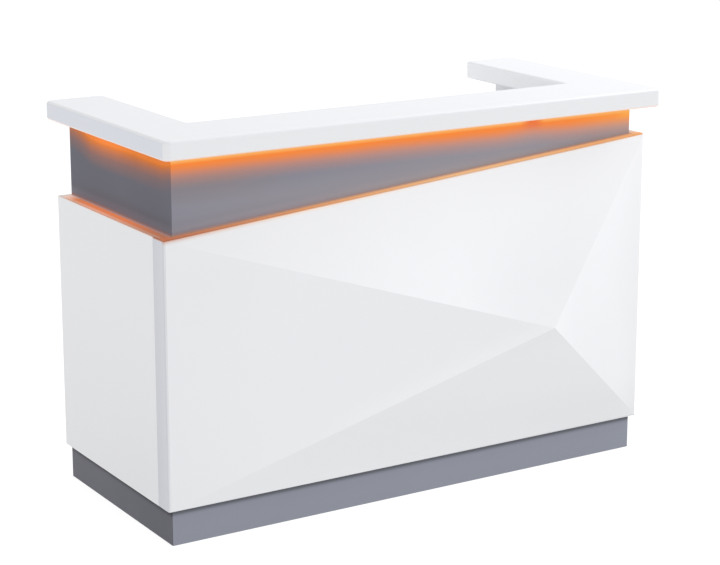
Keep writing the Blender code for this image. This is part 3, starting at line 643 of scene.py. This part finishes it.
# ---- faceted front: slab and framing as one lacquered shell -------------------------------------
bm = bmesh.new()
ring = [(-BODY_X, BODY_LOW), (BODY_X, BODY_LOW), (BODY_X, LEDGE_RIGHT), (-BODY_X, LEDGE_LEFT)]
ahead = [bm.verts.new((x, BODY_FRONT, z)) for x, z in ring]
behind = [bm.verts.new((x, FRAME_BACK, z)) for x, z in ring]
tip = bm.verts.new(APEX)
for k in range(4):
    n = (k + 1) % 4
    bm.faces.new((ahead[k], ahead[n], tip))
    bm.faces.new((ahead[n], ahead[k], behind[k], behind[n]))
bm.faces.new(behind)
bmesh.ops.recalc_face_normals(bm, faces=bm.faces[:])
corners = [e for e in bm.edges if e.verts[0] in ahead and e.verts[1] in ahead and abs(e.verts[0].co.x - e.verts[1].co.x) < 1e-6]
bmesh.ops.bevel(bm, geom=corners, offset=0.0060, segments=6, profile=0.5, affect="EDGES", clamp_overlap=True)
rims = [e for e in bm.edges if e.calc_face_angle() > math.radians(60) and not all(v in behind for v in e.verts)]
bmesh.ops.bevel(bm, geom=rims, offset=0.0024, segments=4, profile=0.5, affect="EDGES", clamp_overlap=True)
bmesh.ops.remove_doubles(bm, verts=bm.verts[:], dist=2e-5)
for e in bm.edges:
    ridge = all(f.calc_area() > 0.01 and f.normal.y < -0.95 for f in e.link_faces)
    if ridge or e.calc_face_angle() > math.radians(40):
        e.smooth = False
for f in bm.faces:
    if abs(f.normal.x) > 0.95:
        f.material_index = 1
shell = piece_of("front_shell", bm, [PANEL, EDGING], "desk", ("front_panel", "front_rail_top", "front_rail_bottom", "front_stile_left", "front_stile_right"))
rounded_edges(shell, 0, 0)

# ---- grey band and plinth: each one lacquered U ---------------------------------------------------
def wrapped(name, stations, top, radius, mat, replaced):
    """A U-shaped wall through (outer, inner, foot) stations, with its two front corners rounded."""
    bm = bmesh.new()
    rings = []
    for (ox, oy), (ix, iy), foot in stations:
        rings.append([bm.verts.new(v) for v in ((ox, oy, foot), (ox, oy, top), (ix, iy, top), (ix, iy, foot))])
    for a, b in zip(rings, rings[1:]):
        for k in range(4):
            n = (k + 1) % 4
            bm.faces.new((a[k], a[n], b[n], b[k]))
    bm.faces.new(rings[0])
    bm.faces.new(rings[-1])
    bmesh.ops.recalc_face_normals(bm, faces=bm.faces[:])
    front = min(v.co.y for v in bm.verts)
    corners = [e for e in bm.edges if all(abs(v.co.y - front) < 1e-6 for v in e.verts) and abs(e.verts[0].co.x - e.verts[1].co.x) < 1e-6]
    bmesh.ops.bevel(bm, geom=corners, offset=radius, segments=5, profile=0.5, affect="EDGES", clamp_overlap=True)
    for e in bm.edges:
        if e.calc_face_angle() > math.radians(40):
            e.smooth = False
    return rounded_edges(piece_of(name, bm, [mat], "desk", replaced), 0, 0)


def stations(front, left, feet):
    """Stations round a front board and the two side boards behind it; the right side has its own foot."""
    (fx, fy, _), (_, back, _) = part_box(front)
    (lx, ly, _), (inner, end, _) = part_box(left)
    low, slope, right = feet
    return [
        ((fx, end), (inner, end), low),
        ((fx, fy), (inner, back), low),
        ((-fx, fy), (-inner, back), slope),
        ((-fx, ly), (-inner, ly), right),
        ((-fx, end), (-inner, end), right),
    ]


band_low, band_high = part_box("band_front")
feet = (band_low.z, ledge(band_high.x) + 0.0003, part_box("band_right")[0].z)
wrapped("band_shell", stations("band_front", "band_left", feet), band_high.z, 0.0015, BAND, ("band_front", "band_left", "band_right"))
plinth_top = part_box("plinth_front")[1].z
wrapped("plinth_shell", stations("plinth_front", "plinth_left", (0.0, 0.0, 0.0)), plinth_top, 0.0030, GREY, ("plinth_front", "plinth_left", "plinth_right"))

# ---- small fittings -----------------------------------------------------------------------------
SCREW = [(0, 0.0009), (0.0012, 0.0009), (0.0013, 0.0017), (0.0022, 0.0016), (0.0032, 0.0011), (0.0037, 0.0004), (0.0038, 0.0), (0, 0.0)]
CAP = [(0, 0.0011), (0.0045, 0.0010), (0.0068, 0.0008), (0.0080, 0.0004), (0.0083, 0.0001), (0, 0.0001)]

# rings round the two locks
for name, body in (("drawer_lock", "drawer_top"), ("door_lock", "cupboard_door")):
    low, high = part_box(name)
    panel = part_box("drawer_top_front" if body == "drawer_top" else "door")[1].y
    bm = bmesh.new()
    ring = [(0.0067, 0.0), (0.0067, 0.0011), (0.0072, 0.0016), (0.0084, 0.0017), (0.0097, 0.0012), (0.0105, 0.0004), (0.0106, 0.0)]
    turned(bm, ring, facing(((low.x + high.x) / 2, panel + 0.0001, (low.z + high.z) / 2), (0, 1, 0)), 40, True)
    rounded_edges(piece_of(name + "_ring", bm, [STEEL_Z], body), 0, 0)

# light driver: louvres, fixing ears with screws, pins of the inlet and a small lamp
low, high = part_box("led_driver")
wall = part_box("inner_front_board")[1].y
bm = bmesh.new()
for k in range(14):
    x = low.x + 0.046 + k * 0.0075
    block(bm, (x, high.y + 0.0001, low.z + 0.010), (x + 0.0032, high.y + 0.0013, high.z - 0.010))
for x, side in ((low.x, -1), (high.x, 1)):
    a, b = sorted((x + side * 0.0002, x + side * 0.014))
    block(bm, (a, wall + 0.0003, low.z + 0.008), (b, wall + 0.0035, high.z - 0.008))
rounded_edges(piece_of("led_driver_louvres", bm, [GREY_PLASTIC], "desk"), 0.0004, 2)
bm = bmesh.new()
for x in (low.x - 0.0075, high.x + 0.0075):
    turned(bm, SCREW, facing((x, wall + 0.0036, (low.z + high.z) / 2), (0, 1, 0)))
for offset in (-0.0035, 0.0035):
    turned(bm, [(0, 0.0085), (0.0009, 0.0082), (0.0012, 0.0076), (0.0012, 0.0002), (0, 0.0002)], facing((low.x + 0.0138, low.y + 0.015 + offset, (low.z + high.z) / 2), (-1, 0, 0)), 16)
rounded_edges(piece_of("led_driver_screws_and_pins", bm, [ZINC], "desk"), 0, 0)

bm = bmesh.new()
turned(bm, [(0, 0.0021), (0.0008, 0.0019), (0.0014, 0.0013), (0.0017, 0.0005), (0.0017, 0.0001), (0, 0.0001)], facing((low.x + 0.022, high.y, (low.z + high.z) / 2), (0, 1, 0)), 24)
rounded_edges(piece_of("led_driver_lamp", bm, [LAMP], "desk"), 0, 0)

# switch: a raised bezel round the rocker, and the two plain marks on the rocker
low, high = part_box("led_switch_housing")
rock_low, rock_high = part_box("led_switch_rocker")
bm = bmesh.new()
for a, b in (
    ((rock_low.x - 0.0035, rock_high.z + 0.0012), (rock_high.x + 0.0035, rock_high.z + 0.0036)),
    ((rock_low.x - 0.0035, rock_low.z - 0.0036), (rock_high.x + 0.0035, rock_low.z - 0.0012)),
    ((rock_low.x - 0.0035, rock_low.z - 0.0011), (rock_low.x - 0.0011, rock_high.z + 0.0011)),
    ((rock_high.x + 0.0011, rock_low.z - 0.0011), (rock_high.x + 0.0035, rock_high.z + 0.0011)),
):
    block(bm, (a[0], high.y + 0.0001, a[1]), (b[0], high.y + 0.0012, b[1]))
rounded_edges(piece_of("led_switch_bezel", bm, [BLACK], "desk"), 0.0004, 2)

for half, tall in ((-1, True), (1, False)):
    lean = math.radians(-8.0 - half * 8.0)
    u, v = 0.0025, half * 0.0052
    tilt = math.radians(-8.0)
    at = ((rock_low.x + rock_high.x) / 2, high.y - 0.0005 + u * math.cos(tilt) - v * math.sin(tilt), (low.z + high.z) / 2 + u * math.sin(tilt) + v * math.cos(tilt))
    place = facing(at, (0.0, math.cos(lean), math.sin(lean)))
    bm = bmesh.new()
    if tall:
        block(bm, (-0.0005, -0.0021, 0.00005), (0.0005, 0.0021, 0.00035), place)
    else:
        turned(bm, [(0.0013, 0.00005), (0.0013, 0.00035), (0.0022, 0.00035), (0.0022, 0.00005)], place, 32, True)
    rounded_edges(piece_of("led_switch_mark_on" if tall else "led_switch_mark_off", bm, [WHITE_PLASTIC], "switch_rocker"), 0.00008, 1)

# shelf pins in the cupboard
shelf_low, shelf_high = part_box("cupboard_shelf")
PIN = [(0, 0.0085), (0.0021, 0.0083), (0.0025, 0.0078), (0.0025, 0.0014), (0.0036, 0.0012), (0.0039, 0.0008), (0.0039, 0.0001), (0, 0.0001)]
bm = bmesh.new()
for y in (shelf_low.y + 0.045, shelf_high.y - 0.045):
    turned(bm, PIN, facing((shelf_low.x - 0.0002, y, shelf_low.z - 0.0042), (1, 0, 0)), 20)
    turned(bm, PIN, facing((shelf_high.x + 0.0002, y, shelf_low.z - 0.0042), (-1, 0, 0)), 20)
rounded_edges(piece_of("shelf_pins", bm, [ZINC], "desk"), 0, 0)

# cover caps over the connectors in the knee space
bm = bmesh.new()
for side, node in ((1, "divider_left"), (-1, "divider_right")):
    low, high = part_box(node)
    x = high.x if side > 0 else low.x
    for y in (-0.150, 0.050, 0.250):
        for z in (high.z - 0.034, 0.128):
            turned(bm, CAP, facing((x + side * 0.0001, y, z), (side, 0, 0)), 24)
rounded_edges(piece_of("connector_caps", bm, [WHITE_PLASTIC], "desk"), 0, 0)

# ---- floor, light and camera --------------------------------------------------------------------
bpy.ops.mesh.primitive_plane_add(size=80.0, location=(0.0, 0.0, 0.0))
floor = bpy.context.object
floor.name = "studio_floor"
s = Shader("pale_floor")
s.out("Base Color", s.mix(s.span(s.noise(0.6, 2.0), 0.3, 0.7, 0.0, 1.0), (0.256, 0.256, 0.256), (0.264, 0.264, 0.264)))
s.set(Roughness=0.9, Specular_IOR_Level=0.0, Emission_Color=(1.0, 1.0, 1.0, 1.0), Emission_Strength=0.86)
floor.data.materials.append(s.mat)

world = bpy.data.worlds.new("studio")
scene.world = world
world.use_nodes = True
tree = world.node_tree
sky = tree.nodes["Background"]
where = tree.nodes.new("ShaderNodeTexCoord")
apart = tree.nodes.new("ShaderNodeSeparateXYZ")
tree.links.new(where.outputs["Generated"], apart.inputs["Vector"])
across = tree.nodes.new("ShaderNodeMath")
across.operation = "MULTIPLY_ADD"
across.inputs[1].default_value = 0.06
across.inputs[2].default_value = 0.785
tree.links.new(apart.outputs["X"], across.inputs[0])
level = tree.nodes.new("ShaderNodeMath")
level.operation = "MULTIPLY_ADD"
level.inputs[1].default_value = 0.15
tree.links.new(apart.outputs["Z"], level.inputs[0])
tree.links.new(across.outputs["Value"], level.inputs[2])
# the backdrop behind the floor is as pale as the floor
edge = tree.nodes.new("ShaderNodeMapRange")
edge.interpolation_type = "SMOOTHSTEP"
for key, number in zip(("From Min", "From Max", "To Min", "To Max"), (0.06, 0.14, 1.0, 0.0)):
    edge.inputs[key].default_value = number
tree.links.new(apart.outputs["Z"], edge.inputs["Value"])
lift = tree.nodes.new("ShaderNodeMath")
lift.operation = "MULTIPLY_ADD"
lift.inputs[1].default_value = 0.26
tree.links.new(edge.outputs["Result"], lift.inputs[0])
tree.links.new(level.outputs["Value"], lift.inputs[2])
tree.links.new(lift.outputs["Value"], sky.inputs["Strength"])
sky.inputs["Color"].default_value = (0.98, 0.99, 1.0, 1.0)

lamp = bpy.data.lights.new("key_softbox", "AREA")
lamp.shape = "DISK"
lamp.size = 3.0
lamp.energy = 170.0
key = bpy.data.objects.new("key_softbox", lamp)
key.location = (5.0, -0.6, 4.2)
key.rotation_euler = (Vector((0.0, -0.1, 0.7)) - key.location).to_track_quat("-Z", "Y").to_euler()
scene.collection.objects.link(key)

YAW, PITCH, FOCAL_PX, RISE_PX = 0.55478, 0.23112, 2063.54, -45.0
lens = bpy.data.cameras.new("camera")
lens.sensor_fit = "HORIZONTAL"
lens.sensor_width = 36.0
lens.lens = FOCAL_PX * 36.0 / 720.0
lens.shift_y = RISE_PX / 720.0
lens.clip_end = 200.0
camera = bpy.data.objects.new("camera", lens)
camera.location = (-2.91858, -4.71563, 1.95916)
camera.rotation_euler = (math.pi / 2 - PITCH, 0.0, -YAW)
scene.collection.objects.link(camera)
scene.camera = camera

scene.view_settings.view_transform = "Standard"
scene.view_settings.look = "None"
scene.view_settings.exposure = 0.0
scene.view_settings.gamma = 1.0
